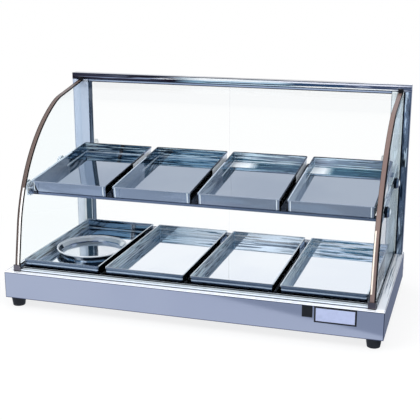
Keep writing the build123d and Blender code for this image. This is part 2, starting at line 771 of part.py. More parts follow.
# Cable gland: a ribbed dome outside the wall with a bore for a cord
with BuildPart() as gland:
    with BuildSketch(Plane(origin=(gland_x, base_rear, gland_z), x_dir=(0, 0, 1), z_dir=(1, 0, 0))):
        with BuildLine():
            Polyline((gland_bore_radius, base_sheet + gland_inner_length),
                     (gland_radius, base_sheet + gland_inner_length), (gland_radius, 0),
                     (gland_nut_radius, 0), (gland_nut_radius, -gland_nut_length),
                     (gland_radius, -gland_nut_length - gland_taper),
                     (gland_bore_radius + gland_wall, -gland_proud),
                     (gland_bore_radius, -gland_proud), close=True)
        make_face()
    revolve(axis=Axis((gland_x, 0, gland_z), (0, 1, 0)))
save(gland.part, "cable_gland")

# Heating elements: two tubes bent to hairpins under the deck
deck_under = deck_z - base_sheet
element_z = deck_under - element_drop
element_y = [base_y - element_forward + side * element_spread / 2 for side in (-1, 1)]
with BuildPart() as elements:
    for y in element_y:
        with BuildSketch(Plane.YZ.offset(-element_length / 2)):
            with Locations((y - element_bend_radius, element_z), (y + element_bend_radius, element_z)):
                Circle(element_radius)
        extrude(amount=element_length)
        with BuildSketch(Plane.YZ.offset(-element_length / 2)):
            with Locations((y - element_bend_radius, element_z)):
                Circle(element_radius)
        revolve(axis=Axis((-element_length / 2, y, 0), (0, 0, 1)), revolution_arc=-180)
save(elements.part, "heating_elements")

# Element clips: straps that hang each run from the underside of the deck
strap_in = element_radius + clip_fit
with BuildPart() as clips:
    for y in element_y:
        for run in (y - element_bend_radius, y + element_bend_radius):
            for x in (-clip_pitch, 0, clip_pitch):
                with BuildSketch(Plane.YZ.offset(x - clip_width / 2)):
                    with BuildLine():
                        Polyline((run - strap_in, deck_under), (run - strap_in, element_z))
                        ThreePointArc((run - strap_in, element_z), (run, element_z - strap_in),
                                      (run + strap_in, element_z))
                        Polyline((run + strap_in, element_z), (run + strap_in, deck_under),
                                 (run + strap_in + clip_sheet, deck_under),
                                 (run + strap_in + clip_sheet, element_z))
                        ThreePointArc((run + strap_in + clip_sheet, element_z),
                                      (run, element_z - strap_in - clip_sheet),
                                      (run - strap_in - clip_sheet, element_z))
                        Polyline((run - strap_in - clip_sheet, element_z),
                                 (run - strap_in - clip_sheet, deck_under), (run - strap_in, deck_under))
                    make_face()
                extrude(amount=clip_width)
save(clips.part, "element_clips")

# Heat shield: a folded sheet that stands on the base plate below the elements
plate_top = foot_height + base_sheet + plate_sheet
shield_top = deck_under - shield_drop
shield_half = base_depth / 2 - shield_margin
with BuildPart() as shield:
    with BuildSketch(Plane.YZ):
        with BuildLine():
            Polyline(
                (base_y - shield_half, plate_top), (base_y - shield_half, shield_top + shield_sheet),
                (base_y + shield_half, shield_top + shield_sheet), (base_y + shield_half, plate_top),
                (base_y + shield_half - shield_sheet, plate_top), (base_y + shield_half - shield_sheet, shield_top),
                (base_y - shield_half + shield_sheet, shield_top), (base_y - shield_half + shield_sheet, plate_top),
                close=True,
            )
        make_face()
    extrude(amount=case_width / 2 - shield_margin - shield_rim, both=True)
save(shield.part, "heat_shield")

# Terminal block on the base plate near the gland
with BuildPart() as block:
    with BuildSketch(Plane.XY.offset(plate_top)):
        with Locations((block_x, wall_inside - block_gap - block_width / 2)):
            RectangleRounded(block_length, block_width, block_corner_radius)
    extrude(amount=block_height)
    with BuildSketch(Plane.XY.offset(plate_top + block_height)):
        with Locations((block_x, wall_inside - block_gap - block_width / 2)):
            with GridLocations(block_length / 4, block_width / 2, 3, 2):
                Circle(block_width / 8)
    extrude(amount=-block_hole_depth, mode=Mode.SUBTRACT)
save(block.part, "terminal_block")
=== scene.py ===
"""Looks of the heated display case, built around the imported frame.

Everything is in metres in the frame of the part: +X to the right, +Y to the rear doors, +Z up,
feet on Z = 0.
"""
from __future__ import annotations

import json
import logging
import math
from dataclasses import dataclass
from enum import Enum
from functools import partial

import bpy
import numpy as np
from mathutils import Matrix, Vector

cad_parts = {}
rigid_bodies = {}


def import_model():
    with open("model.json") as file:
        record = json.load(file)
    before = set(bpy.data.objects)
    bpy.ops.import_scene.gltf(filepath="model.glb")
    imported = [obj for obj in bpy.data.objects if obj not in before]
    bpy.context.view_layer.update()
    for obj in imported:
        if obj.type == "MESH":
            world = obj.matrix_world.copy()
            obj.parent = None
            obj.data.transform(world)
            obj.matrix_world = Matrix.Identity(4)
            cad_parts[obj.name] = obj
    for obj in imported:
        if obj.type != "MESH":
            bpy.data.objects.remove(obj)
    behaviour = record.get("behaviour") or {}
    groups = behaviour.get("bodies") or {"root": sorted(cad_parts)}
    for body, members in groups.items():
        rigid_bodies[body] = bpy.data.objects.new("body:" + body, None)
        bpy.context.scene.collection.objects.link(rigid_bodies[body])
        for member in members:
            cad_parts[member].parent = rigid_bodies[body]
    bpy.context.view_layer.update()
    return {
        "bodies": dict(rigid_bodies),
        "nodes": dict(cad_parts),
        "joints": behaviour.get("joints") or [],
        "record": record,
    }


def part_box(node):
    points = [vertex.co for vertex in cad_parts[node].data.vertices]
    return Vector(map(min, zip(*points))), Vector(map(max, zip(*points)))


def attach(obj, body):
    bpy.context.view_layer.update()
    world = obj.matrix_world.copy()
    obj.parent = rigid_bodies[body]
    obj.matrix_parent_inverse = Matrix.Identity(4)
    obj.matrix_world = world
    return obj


LOG = logging.getLogger("display_case")
Triple = tuple[float, float, float]
Colour = Triple
Range = tuple[float, float]
Socket = bpy.types.NodeSocket

NARROW = 0.0003
BLACK_TINT = (0.03, 0.03, 0.04)
PURE_WHITE = (1.0, 1.0, 1.0)
FINE_BUMP = 0.000004
SHARP_ANGLE = math.radians(40)
SHELF_TILT = math.radians(6.6)
TRAY_PITCH = 0.174
SIDES = ("left", "right")


class Body(str, Enum):
    """Bodies that the added pieces ride on."""

    CASE = "case"
    DIAL = "dial"


class Grain(Enum):
    """Direction that the steel was brushed in, as noise scales per metre along X, Y and Z."""

    ALONG_X = (6.0, 900.0, 900.0)
    ALONG_Y = (900.0, 6.0, 900.0)
    ALONG_Z = (900.0, 900.0, 6.0)


def srgb(r: int, g: int, b: int) -> Colour:
    """Turns a screen colour into linear light.

    Args:
        r, g, b: screen values from 0 to 255.

    Returns:
        The linear colour: below 0.04045 the value over 12.92, otherwise a power of 2.4.
    """
    v = np.array((r, g, b), float) / 255
    out = np.where(v <= 0.04045, v / 12.92, ((v + 0.055) / 1.055) ** 2.4)
    return tuple(float(x) for x in out)


# Shaders


class NodeBench:
    """The node tree of a material or world, and short calls that add its nodes."""

    def __init__(self, owner: bpy.types.Material | bpy.types.World) -> None:
        """Starts an empty node tree for its owner."""
        owner.use_nodes = True
        self.owner = owner
        self.tree = owner.node_tree
        self.tree.nodes.clear()
        self._coords: Socket | None = None

    def add(self, kind: str, inputs: dict | None = None, **props: object) -> bpy.types.Node:
        """Adds one node.

        Args:
            kind: the node's type name without its ShaderNode prefix.
            inputs: socket name or number to a value or to another node's socket.
            props: plain properties of the node.

        Returns:
            The node.
        """
        node = self.tree.nodes.new("ShaderNode" + kind)
        for key, value in props.items():
            setattr(node, key, value)
        for key, value in (inputs or {}).items():
            if isinstance(value, Socket):
                self.tree.links.new(value, node.inputs[key])
            else:
                node.inputs[key].default_value = value
        return node

    def place(self, scale: Triple = (1, 1, 1), shift: Triple = (0, 0, 0)) -> Socket:
        """Object coordinates in metres, scaled and shifted on each axis."""
        if self._coords is None:
            self._coords = self.add("TexCoord").outputs["Object"]
        node = self.add("Mapping", {"Vector": self._coords, "Location": shift, "Scale": scale})
        return node.outputs["Vector"]

    def noise(self, vector: Socket, scale: float = 1.0, detail: float = 3.0,
              roughness: float = 0.5) -> Socket:
        """Perlin noise from 0 to 1 read at the vector."""
        inputs = {"Vector": vector, "Scale": scale, "Detail": detail, "Roughness": roughness}
        return self.add("TexNoise", inputs).outputs["Fac"]

    def span(self, value: Socket, low: float, high: float, to_low: float = 0.0,
             to_high: float = 1.0, smooth: bool = False) -> Socket:
        """Maps a value from one range onto another, held at both ends."""
        ends = {"From Min": low, "From Max": high, "To Min": to_low, "To Max": to_high}
        how = "SMOOTHSTEP" if smooth else "LINEAR"
        return self.add("MapRange", {"Value": value, **ends}, interpolation_type=how).outputs["Result"]

    def maths(self, how: str, a: object, b: object = 0.0) -> Socket:
        """One arithmetic step on two values."""
        return self.add("Math", {0: a, 1: b}, operation=how).outputs[0]

    def blend(self, share: object, a: object, b: object) -> Socket:
        """Mixes two colours by a share from 0 to 1."""
        node = self.add("Mix", data_type="RGBA")
        for number, value in ((0, share), (6, a), (7, b)):
            if isinstance(value, Socket):
                self.tree.links.new(value, node.inputs[number])
            elif number == 0:
                node.inputs[number].default_value = value
            else:
                node.inputs[number].default_value = (*value, 1)
        return node.outputs[2]

    def toned(self, share: Socket, colour: object) -> Socket:
        """A colour made darker or lighter by a share around 1."""
        return self.add("VectorMath", {0: colour, "Scale": share}, operation="SCALE").outputs[0]

    def axes(self, vector: Socket) -> tuple[Socket, ...]:
        """The three numbers of a vector."""
        node = self.add("SeparateXYZ", {"Vector": vector})
        return node.outputs[0], node.outputs[1], node.outputs[2]

    def bump(self, height: Socket, distance: float) -> Socket:
        """A normal pushed by a height from 0 to 1 that stands for the distance in metres."""
        return self.add("Bump", {"Height": height, "Distance": distance}).outputs["Normal"]


class ShaderBench(NodeBench):
    """The bench of a material, with its output."""

    def __init__(self, name: str) -> None:
        """Starts a material of the given name."""
        super().__init__(bpy.data.materials.new(name))
        self.out = self.add("OutputMaterial")

    def finish(self, shader: Socket) -> bpy.types.Material:
        """Joins the shader to the output and hands the material over."""
        self.tree.links.new(shader, self.out.inputs["Surface"])
        return self.owner


@dataclass(frozen=True)
class Band:
    """A stripe of another colour where the part's coordinates lie in given ranges.

    Attributes:
        colour: the stripe's colour.
        x, y, z: ranges in metres, or None where any value will do.
        satin: share of the mirror that gives way to a plain painted look.
        both: whether the size of X counts, so that the stripe shows at left and right.
        period: length after which the X range repeats, or 0.
        slope: turn about X in radians that Y and Z are taken in.
        foot: the Y and Z in metres that the slope turns about.
        streak: noise scales on X, Y and Z that break the stripe into streaks, or None for a whole stripe.
        cut: the noise values from which a streak begins and where it is full.
        seed: shift of the noise, so that two stripes don't streak alike.
        fade: length in metres over which the X ends fade.
        dull: whether the stripe stays dark at a grazing view.
    """

    colour: Colour
    x: Range | None = None
    y: Range | None = None
    z: Range | None = None
    satin: float = 0.0
    both: bool = False
    period: float = 0.0
    slope: float = 0.0
    foot: Range = (0.0, 0.0)
    streak: Triple | None = None
    cut: Range = (0.5, 0.56)
    seed: float = 0.0
    fade: float = NARROW
    dull: bool = False


Bands = tuple[Band, ...]


def stripe(b: ShaderBench, band: Band) -> Socket:
    """The share of a band at each point.

    Args:
        b: the material's bench.
        band: the stripe.

    Returns:
        1 inside the band, falling to 0 over its fade at the X ends and over the narrow edge at
        the others, and times the noise of its streaks.
    """
    vector = b.place(shift=(0.0, -band.foot[0], -band.foot[1]))
    if band.slope:
        turned = b.add("Mapping", {"Vector": vector, "Rotation": (-band.slope, 0.0, 0.0)})
        vector = turned.outputs["Vector"]
    values = list(b.axes(vector))
    if band.both:
        values[0] = b.maths("ABSOLUTE", values[0])
    if band.period:
        values[0] = b.maths("FLOORED_MODULO", b.maths("ADD", values[0], 10 * band.period), band.period)
    share: object = None
    for value, limits, fade in zip(values, (band.x, band.y, band.z), (band.fade, NARROW, NARROW)):
        if limits is None:
            continue
        rise = b.span(value, limits[0] - fade, limits[0])
        fall = b.span(value, limits[1], limits[1] + fade, 1.0, 0.0)
        inside = b.maths("MULTIPLY", rise, fall)
        share = inside if share is None else b.maths("MULTIPLY", share, inside)
    if band.streak:
        shift = (band.seed, 0.7 * band.seed, 1.3 * band.seed)
        noise = b.noise(b.place(band.streak, shift), 1.0, 3.0, 0.6)
        broken = b.span(noise, *band.cut, smooth=True)
        share = broken if share is None else b.maths("MULTIPLY", share, broken)
    return share


def striped(b: ShaderBench, bands: Bands, colour: Socket,
            metal: object) -> tuple[object, object, object]:
    """Lays the bands over a colour, in their order.

    Args:
        b: the material's bench.
        bands: the stripes.
        colour: the colour under them.
        metal: the share of metal under them.

    Returns:
        The colour and the share of metal with the stripes on, and the tint of grazing reflections.
    """
    tint: object = PURE_WHITE
    for band in bands:
        share = stripe(b, band)
        colour = b.blend(share, colour, band.colour)
        if band.satin:
            metal = b.maths("SUBTRACT", metal, b.maths("MULTIPLY", share, band.satin))
            metal = b.maths("MAXIMUM", metal, 0.0)
        if band.dull:
            tint = b.blend(share, tint, BLACK_TINT)
    return colour, metal, tint


@dataclass(frozen=True)
class SteelFinish:
    """Bright stainless sheet: brush lines, a slow waviness and the bands of what it reflects."""

    name: str
    colour: Colour
    shade: Colour
    roughness: float = 0.1
    grain: Grain = Grain.ALONG_X
    wave: float = 0.0004
    wave_scale: Triple = (5.0, 5.0, 5.0)
    bands: Bands = ()

    def make(self) -> bpy.types.Material:
        """Builds the metal.

        Returns:
            A Principled metal whose colour drifts between colour and shade, with brush lines
            and specks in the roughness, a slow noise in the normal and the bands on top.
        """
        b = ShaderBench(self.name)
        drift = b.span(b.noise(b.place(self.wave_scale), 1.0, 2.0), 0.35, 0.65, smooth=True)
        colour = b.blend(drift, self.colour, self.shade)
        colour, metal, tint = striped(b, self.bands, colour, 1.0)
        brush = b.noise(b.place(self.grain.value), 1.0, 2.0, 0.6)
        specks = b.noise(b.place((60, 60, 60)), 1.0, 4.0, 0.6)
        rough = b.maths("ADD", b.span(brush, 0.3, 0.7, self.roughness * 0.75, self.roughness * 1.2),
                        b.span(specks, 0.5, 0.75, 0.0, 0.04))
        slow = b.noise(b.place(self.wave_scale), 1.0, 1.0, 0.4)
        fine = b.bump(brush, FINE_BUMP)
        wavy = b.add("Bump", {"Height": slow, "Distance": self.wave, "Normal": fine}).outputs["Normal"]
        tint = (*tint, 1) if isinstance(tint, tuple) else tint
        shader = b.add("BsdfPrincipled", {"Base Color": colour, "Metallic": metal, "Roughness": rough,
                                          "Normal": wavy, "Specular Tint": tint})
        return b.finish(shader.outputs[0])


@dataclass(frozen=True)
class StreakFinish:
    """Polished tube whose reflections are painted into its colour as long streaks along it."""

    name: str
    dark: Colour
    middle: Colour
    light: Colour
    scale: Triple
    lean: Range = (0.0, 0.0)
    roughness: float = 0.08
    highlight_satin: float = 0.75
    bands: Bands = ()

    def make(self) -> bpy.types.Material:
        """Builds the metal.

        Returns:
            A Principled metal coloured by noise drawn out along the tube, as painted reflections: dark
            where it is low and a painted highlight where it is high. The lean adds to the noise from the
            left end to the right one.
        """
        b = ShaderBench(self.name)
        run = b.noise(b.place(self.scale), 1.0, 3.0, 0.6)
        wide = b.noise(b.place(tuple(v * 0.37 for v in self.scale), shift=(3.1, 1.7, 0.4)), 1.0, 1.0)
        both = b.maths("ADD", b.maths("MULTIPLY", run, 0.6), b.maths("MULTIPLY", wide, 0.4))
        across = b.axes(b.place())[0]
        value = b.maths("ADD", both, b.span(across, -0.37, 0.37, *self.lean))
        colour = b.blend(b.span(value, 0.43, 0.49), self.dark, self.middle)
        painted_highlight = b.span(value, 0.53, 0.565)
        colour = b.blend(painted_highlight, colour, self.light)
        metal = b.maths("SUBTRACT", 1.0, b.maths("MULTIPLY", painted_highlight, self.highlight_satin))
        colour, metal, _ = striped(b, self.bands, colour, metal)
        fine = b.bump(b.noise(b.place((900, 900, 900)), 1.0, 2.0), FINE_BUMP)
        shader = b.add("BsdfPrincipled", {"Base Color": colour, "Metallic": metal,
                                          "Roughness": self.roughness, "Normal": fine})
        return b.finish(shader.outputs[0])


@dataclass(frozen=True)
class PlainFinish:
    """Moulded rubber or plastic, painted metal or ceramic, with a fine grain and slight scuffs."""

    name: str
    colour: Colour
    scuff: Colour
    roughness: float = 0.5
    grain_scale: float = 1500.0
    grain_depth: float = 0.00004
    metallic: float = 0.0
    coat: float = 0.0

    def make(self) -> bpy.types.Material:
        """Builds the material.

        Returns:
            A Principled surface: two colours mixed by cloudy noise, and a fine grain bump.
        """
        b = ShaderBench(self.name)
        cloud = b.noise(b.place((90, 90, 90)), 1.0, 4.0, 0.65)
        colour = b.blend(b.span(cloud, 0.45, 0.72), self.colour, self.scuff)
        rough = b.span(cloud, 0.3, 0.7, self.roughness * 0.85, min(1.0, self.roughness * 1.15))
        grain = b.noise(b.place((self.grain_scale,) * 3), 1.0, 2.0)
        shader = b.add("BsdfPrincipled", {"Base Color": colour, "Roughness": rough,
                                          "Metallic": self.metallic, "Coat Weight": self.coat,
                                          "Normal": b.bump(grain, self.grain_depth)})
        return b.finish(shader.outputs[0])


@dataclass(frozen=True)
class ClearFinish:
    """Clear sheet with a faint tint that lets the lamps' light through."""

    name: str
    tint: Colour
    ior: float

    def make(self) -> bpy.types.Material:
        """Builds the glass.

        Returns:
            Principled glass, mixed with Transparent for rays from lamps.
        """
        b = ShaderBench(self.name)
        glass = b.add("BsdfPrincipled", {"Base Color": (*self.tint, 1), "Roughness": 0.0,
                                         "IOR": self.ior, "Transmission Weight": 1.0})
        open_way = b.add("BsdfTransparent", {"Color": (*self.tint, 1)})
        lamp_ray = b.add("LightPath").outputs["Is Shadow Ray"]
        mix = b.add("MixShader", {0: lamp_ray, 1: glass.outputs[0], 2: open_way.outputs[0]})
        return b.finish(mix.outputs[0])


# Meshes


def make_piece(name: str, verts: np.ndarray, faces: np.ndarray, material: bpy.types.Material, body: Body,
               slot: str, bevel: float = 0.0) -> bpy.types.Object:
    """Makes a mesh from whole arrays and hangs it on a body.

    Args:
        name: the piece's name.
        verts: points as an N by 3 array in metres.
        faces: quads as an M by 4 array of point numbers, each seen anticlockwise from outside.
        material: its finish.
        body: the CAD body that it rides on.
        slot: the record's material slot; not used.
        bevel: width of rounded edges in metres, or 0.

    Returns:
        The object, at the origin and unturned. It shades smoothly across edges under 40 degrees.
    """
    mesh = bpy.data.meshes.new(name)
    mesh.from_pydata(np.asarray(verts, float).tolist(), [], np.asarray(faces, int).tolist())
    mesh.validate()
    mesh.update()
    obj = bpy.data.objects.new(name, mesh)
    bpy.context.scene.collection.objects.link(obj)
    obj.data.materials.append(material)
    mesh.polygons.foreach_set("use_smooth", np.ones(len(mesh.polygons), bool))
    mesh.set_sharp_from_angle(angle=SHARP_ANGLE)
    if bevel > 0:
        mod = obj.modifiers.new("edge", "BEVEL")
        mod.width, mod.segments, mod.limit_method = bevel, 2, "ANGLE"
        mod.harden_normals = False
    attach(obj, body.value)
    LOG.info("piece %s: %d points, %d faces", name, len(mesh.vertices), len(mesh.polygons))
    return obj


def box_arrays(low: Triple, high: Triple) -> tuple[np.ndarray, np.ndarray]:
    """A box from corner to corner.

    Args:
        low, high: its two corners.

    Returns:
        Points, which are every choice of low or high on each axis, and six outward quads.
    """
    pick = np.array([[i, j, k] for i in (0, 1) for j in (0, 1) for k in (0, 1)])
    verts = np.where(pick == 1, np.array(high), np.array(low))
    faces = np.array([[0, 1, 3, 2], [4, 6, 7, 5], [0, 4, 5, 1], [2, 3, 7, 6], [0, 2, 6, 4], [1, 5, 7, 3]])
    return verts, faces


def spun_arrays(profile: np.ndarray, centre: Triple, steps: int) -> tuple[np.ndarray, np.ndarray]:
    """Turns a closed profile about an axis along Y through the centre.

    Args:
        profile: distance along the axis and radius, as an N by 2 array, closed from last to first.
        centre: a point on the axis.
        steps: points round the turn.

    Returns:
        Points: the centre plus the distance along Y, radius times cos a on Z and radius times
        sin a on X, for the angle a on one grid side and the profile on the other. Quads join
        neighbours.
    """
    along, radius = np.asarray(profile, float).T
    a = np.linspace(0, 2 * np.pi, steps, endpoint=False)
    grid = np.zeros((steps, len(along), 3))
    grid[..., 1] = along[None, :]
    grid[..., 2] = radius[None, :] * np.cos(a)[:, None]
    grid[..., 0] = radius[None, :] * np.sin(a)[:, None]
    verts = grid.reshape(-1, 3) + np.array(centre)
    i, j = np.meshgrid(np.arange(steps), np.arange(len(along)), indexing="ij")
    i2, j2 = (i + 1) % steps, (j + 1) % len(along)
    n = len(along)
    faces = np.stack([i * n + j, i2 * n + j, i2 * n + j2, i * n + j2], axis=-1).reshape(-1, 4)
    return verts, faces


# Sub-assemblies

# The second colour is a painted white reflection for the deck; the third is painted shade for the side
# channels.
EDGE, WHITE_REFLECTION, CHANNEL_SHADE = srgb(96, 102, 122), srgb(246, 249, 255), srgb(22, 30, 40)


@dataclass
class SubAssembly:
    frame: dict

    def put(self, finish: SteelFinish | StreakFinish | PlainFinish | ClearFinish, *names: str) -> None:
        """Makes a finish and puts it in the slots of the named nodes."""
        material = finish.make()
        for name in names:
            for slot in self.frame["nodes"][name].material_slots:
                slot.material = material
        LOG.info("finish %s on %s", material.name, ", ".join(names))


@dataclass
class Base(SubAssembly):
    """Deck, skirts, bottom plate, feet, gland and the bare plates on the front."""

    half_width: float = 0.375
    front: float = -0.1885
    seam: float = 0.0012
    foot_seam: Range = (0.0, 0.0211)
    top_seam: Range = (0.0718, 0.0728)
    flange: float = 0.359
    plate_thickness: float = 0.0006
    dark_plate: tuple[float, ...] = (0.227, 0.2465, 0.0497, 0.0715)
    pale_plate: tuple[float, ...] = (0.2495, 0.3265, 0.0415, 0.0725)
    border: float = 0.0032

    def seams(self) -> Bands:
        """The dark lines at the foot, top and corners of a skirt."""
        corner = (self.half_width - self.seam, 0.38)
        return Band(EDGE, z=self.foot_seam), Band(EDGE, z=self.top_seam), Band(EDGE, x=corner, both=True)

    def deck_bands(self) -> Bands:
        """The deck's painted white reflections on its flanges and front strip, painted dark streaks of
        reflection on the flanges, the painted shadow behind the front glass, and the lines of its rim.
        """
        rim, line = self.half_width - self.seam, 0.0005
        return (
            Band(WHITE_REFLECTION, x=(self.flange, 0.38), satin=0.85, both=True),
            Band(srgb(110, 128, 146), x=(self.flange, rim), y=(-0.176, 0.2), both=True,
                 streak=(520, 7, 60), cut=(0.57, 0.62)),
            Band(srgb(40, 50, 60), x=(0.0, 0.345), y=(-0.1715, -0.16), both=True),
            Band(WHITE_REFLECTION, y=(-0.19, -0.1768), satin=0.85),
            Band(EDGE, y=(self.front + 0.0013, self.front + 0.0019)),
            Band(EDGE, x=(rim, rim + line), y=(self.front + 0.0019, 0.2), both=True))

    def dress(self) -> None:
        """Puts finishes on the base's nodes."""
        skirt = SteelFinish("skirt_steel", srgb(214, 217, 226), srgb(204, 208, 220), 0.1, Grain.ALONG_X,
                            0.0003, (3, 3, 3), self.seams())
        deck = SteelFinish("deck_steel", srgb(232, 236, 242), srgb(214, 220, 230), 0.06, Grain.ALONG_X,
                           0.0003, (4, 4, 4), self.deck_bands())
        # The sides and rear take a darker copy of the skirt's steel: painted shade.
        side = SteelFinish("side_steel", srgb(160, 168, 182), srgb(142, 150, 168), 0.12, Grain.ALONG_Y,
                           0.0003, (3, 3, 3), self.seams()[:2])
        self.put(skirt, "base_skirt_front")
        self.put(side, "base_skirt_left", "base_skirt_right", "base_skirt_rear")
        self.put(deck, "base_deck")
        zinc = SteelFinish("zinc_sheet", srgb(178, 180, 184), srgb(160, 163, 168), 0.35, Grain.ALONG_X,
                           0.0002, (8, 8, 8))
        self.put(zinc, "base_plate", "foot_screws")
        rubber = PlainFinish("foot_rubber", srgb(12, 14, 18), srgb(28, 31, 38), 0.6)
        self.put(rubber, *(f"foot_{end}_{side}" for end in ("front", "rear") for side in SIDES))
        self.put(PlainFinish("gland_nylon", srgb(20, 21, 24), srgb(36, 37, 42), 0.4), "cable_gland")

    def build(self) -> None:
        """Makes the bare plates: a black one, and a pale one on a dark backing that shows as its border."""
        front = float(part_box("base_skirt_front")[0][1])
        satin = partial(PlainFinish, grain_scale=900.0, grain_depth=0.00002)
        black = satin("plate_black", srgb(10, 11, 15), srgb(20, 22, 28), 0.55).make()
        pale = satin("plate_pale", srgb(170, 180, 212), srgb(160, 171, 203), 0.4).make()
        t = self.plate_thickness
        for name, (x0, x1, z0, z1) in (("plate_dark", self.dark_plate), ("plate_backing", self.pale_plate)):
            box = box_arrays((x0, front - t, z0), (x1, front, z1))
            make_piece(name, *box, black, Body.CASE, "black_plastic", 0.0004)
        x0, x1, z0, z1 = self.pale_plate
        m = self.border
        box = box_arrays((x0 + m, front - 2 * t, z0 + m), (x1 - m, front - t, z1 - m))
        make_piece("plate_pale", *box, pale, Body.CASE, "block_white", 0.0002)


@dataclass
class RearFrame(SubAssembly):
    """Posts, top beam, tracks, doors and pulls.

    The bands copy what the posts' and the beam's front faces reflect.
    """

    front: Range = (0.15, 0.1522)
    beam_front: Range = (0.0, 0.153)
    beam_face: Range = (0.4176, 0.4305)
    post_inner: Range = (0.32, 0.3342)
    shelf_shade: Range = (0.07, 0.25)
    light: Colour = srgb(236, 241, 248)
    shade: Colour = srgb(222, 230, 242)

    def left_bands(self) -> Bands:
        """The left post: pale above, with a dark core and bright lines below the shelf."""
        face = partial(Band, y=self.front, both=True)
        low = partial(face, z=self.shelf_shade)
        return (
            face(srgb(204, 213, 228), x=(0.335, 0.3705), satin=0.6),
            self.inner(),
            face(srgb(140, 150, 168), x=(0.3705, 0.3714)),
            low(srgb(236, 242, 250), x=(0.353, 0.3705), satin=0.8),
            low(srgb(66, 88, 102), x=(0.336, 0.349)),
            low(srgb(248, 252, 255), x=(0.3492, 0.353), satin=0.9),
            low(srgb(222, 232, 240), x=(0.3342, 0.3356), satin=0.8))

    def right_bands(self) -> Bands:
        """The right post: a bright inner strip, then grey with streaks."""
        face = partial(Band, y=self.front, both=True)
        return (
            self.inner(),
            face(srgb(244, 252, 255), x=(0.3342, 0.357), satin=1.0),
            face(srgb(136, 150, 168), x=(0.3602, 0.38)),
            face(srgb(26, 34, 46), x=(0.3572, 0.3602)),
            face(srgb(58, 70, 90), x=(0.3703, 0.3712)),
            face(srgb(196, 214, 230), x=(0.361, 0.37), streak=(90, 60, 16), cut=(0.54, 0.59), satin=0.5),
            face(srgb(34, 52, 70), x=(0.361, 0.37), streak=(120, 60, 13), cut=(0.55, 0.6), seed=4.0))

    def inner(self) -> Band:
        """The painted shade on the face that each post turns to the inside."""
        return Band(srgb(84, 104, 118), x=self.post_inner, both=True)

    def beam_bands(self) -> Bands:
        """The beam's front: dark at the left, then bright, then grey, with fine lines at its edges."""
        near = partial(Band, y=self.beam_front)
        face = partial(near, z=self.beam_face)
        white = srgb(252, 254, 255)
        return (
            face(srgb(36, 30, 38), x=(-0.4, -0.1), fade=0.06, streak=(5, 60, 330), cut=(0.47, 0.51)),
            face(srgb(190, 216, 232), x=(-0.07, 0.13), fade=0.06, satin=0.65),
            face(srgb(104, 150, 172), x=(-0.08, 0.16), fade=0.06, streak=(4, 60, 420), cut=(0.5, 0.55)),
            face(white, x=(-0.07, 0.2), fade=0.08, streak=(3, 60, 520), cut=(0.51, 0.56), seed=2.0,
                 satin=0.95),
            near(srgb(30, 64, 98), x=(0.135, 0.235), fade=0.035, z=(0.42, 0.4252)),
            near(srgb(20, 44, 66), x=(-0.13, 0.12), fade=0.05, z=(0.4196, 0.4212), streak=(9, 60, 60),
                 cut=(0.4, 0.46), seed=5.0),
            face(srgb(76, 86, 108), x=(0.25, 0.4), fade=0.02, streak=(12, 60, 260), cut=(0.38, 0.46),
                 seed=7.0),
            near(white, x=(0.16, 0.33), fade=0.04, z=(0.4178, 0.4196), satin=0.9),
            near(srgb(232, 234, 246), x=(0.1, 0.34), fade=0.05, z=(0.4262, 0.4286), satin=0.8),
            near(srgb(40, 60, 80), x=(-0.4, 0.34), fade=0.02, z=(0.4162, 0.4176)),
            near(srgb(70, 78, 94), x=(-0.4, 0.2), fade=0.1, z=(0.4286, 0.43)))

    def dress(self) -> None:
        """Puts finishes on the rear frame's nodes."""
        for side, bands in zip(SIDES, (self.left_bands(), self.right_bands())):
            post = SteelFinish(f"post_steel_{side}", self.light, self.shade, 0.08, Grain.ALONG_Z, 0.0003,
                               (9, 9, 3), bands)
            self.put(post, f"post_{side}")
        beam = StreakFinish("beam_steel", srgb(62, 60, 72), srgb(176, 182, 200), srgb(250, 252, 255),
                            (4.5, 60.0, 420.0), (-0.085, 0.035), bands=self.beam_bands())
        self.put(beam, "top_beam")
        track = SteelFinish("track_steel", srgb(196, 204, 218), srgb(176, 186, 204), 0.12)
        self.put(track, "track_lower", "track_upper")
        door = ClearFinish("door_sheet", (0.998, 1.0, 1.0), 1.03)
        self.put(door, "door_left", "door_right")
        # The pulls are pale steel with a white satin band above 0.1 m: a painted white reflection.
        pull = SteelFinish("pull_steel", srgb(240, 244, 250), srgb(228, 234, 244), 0.2, Grain.ALONG_Z,
                           bands=(Band(srgb(255, 255, 255), z=(0.1, 0.4), satin=0.95),))
        self.put(pull, "pull_left", "pull_right")


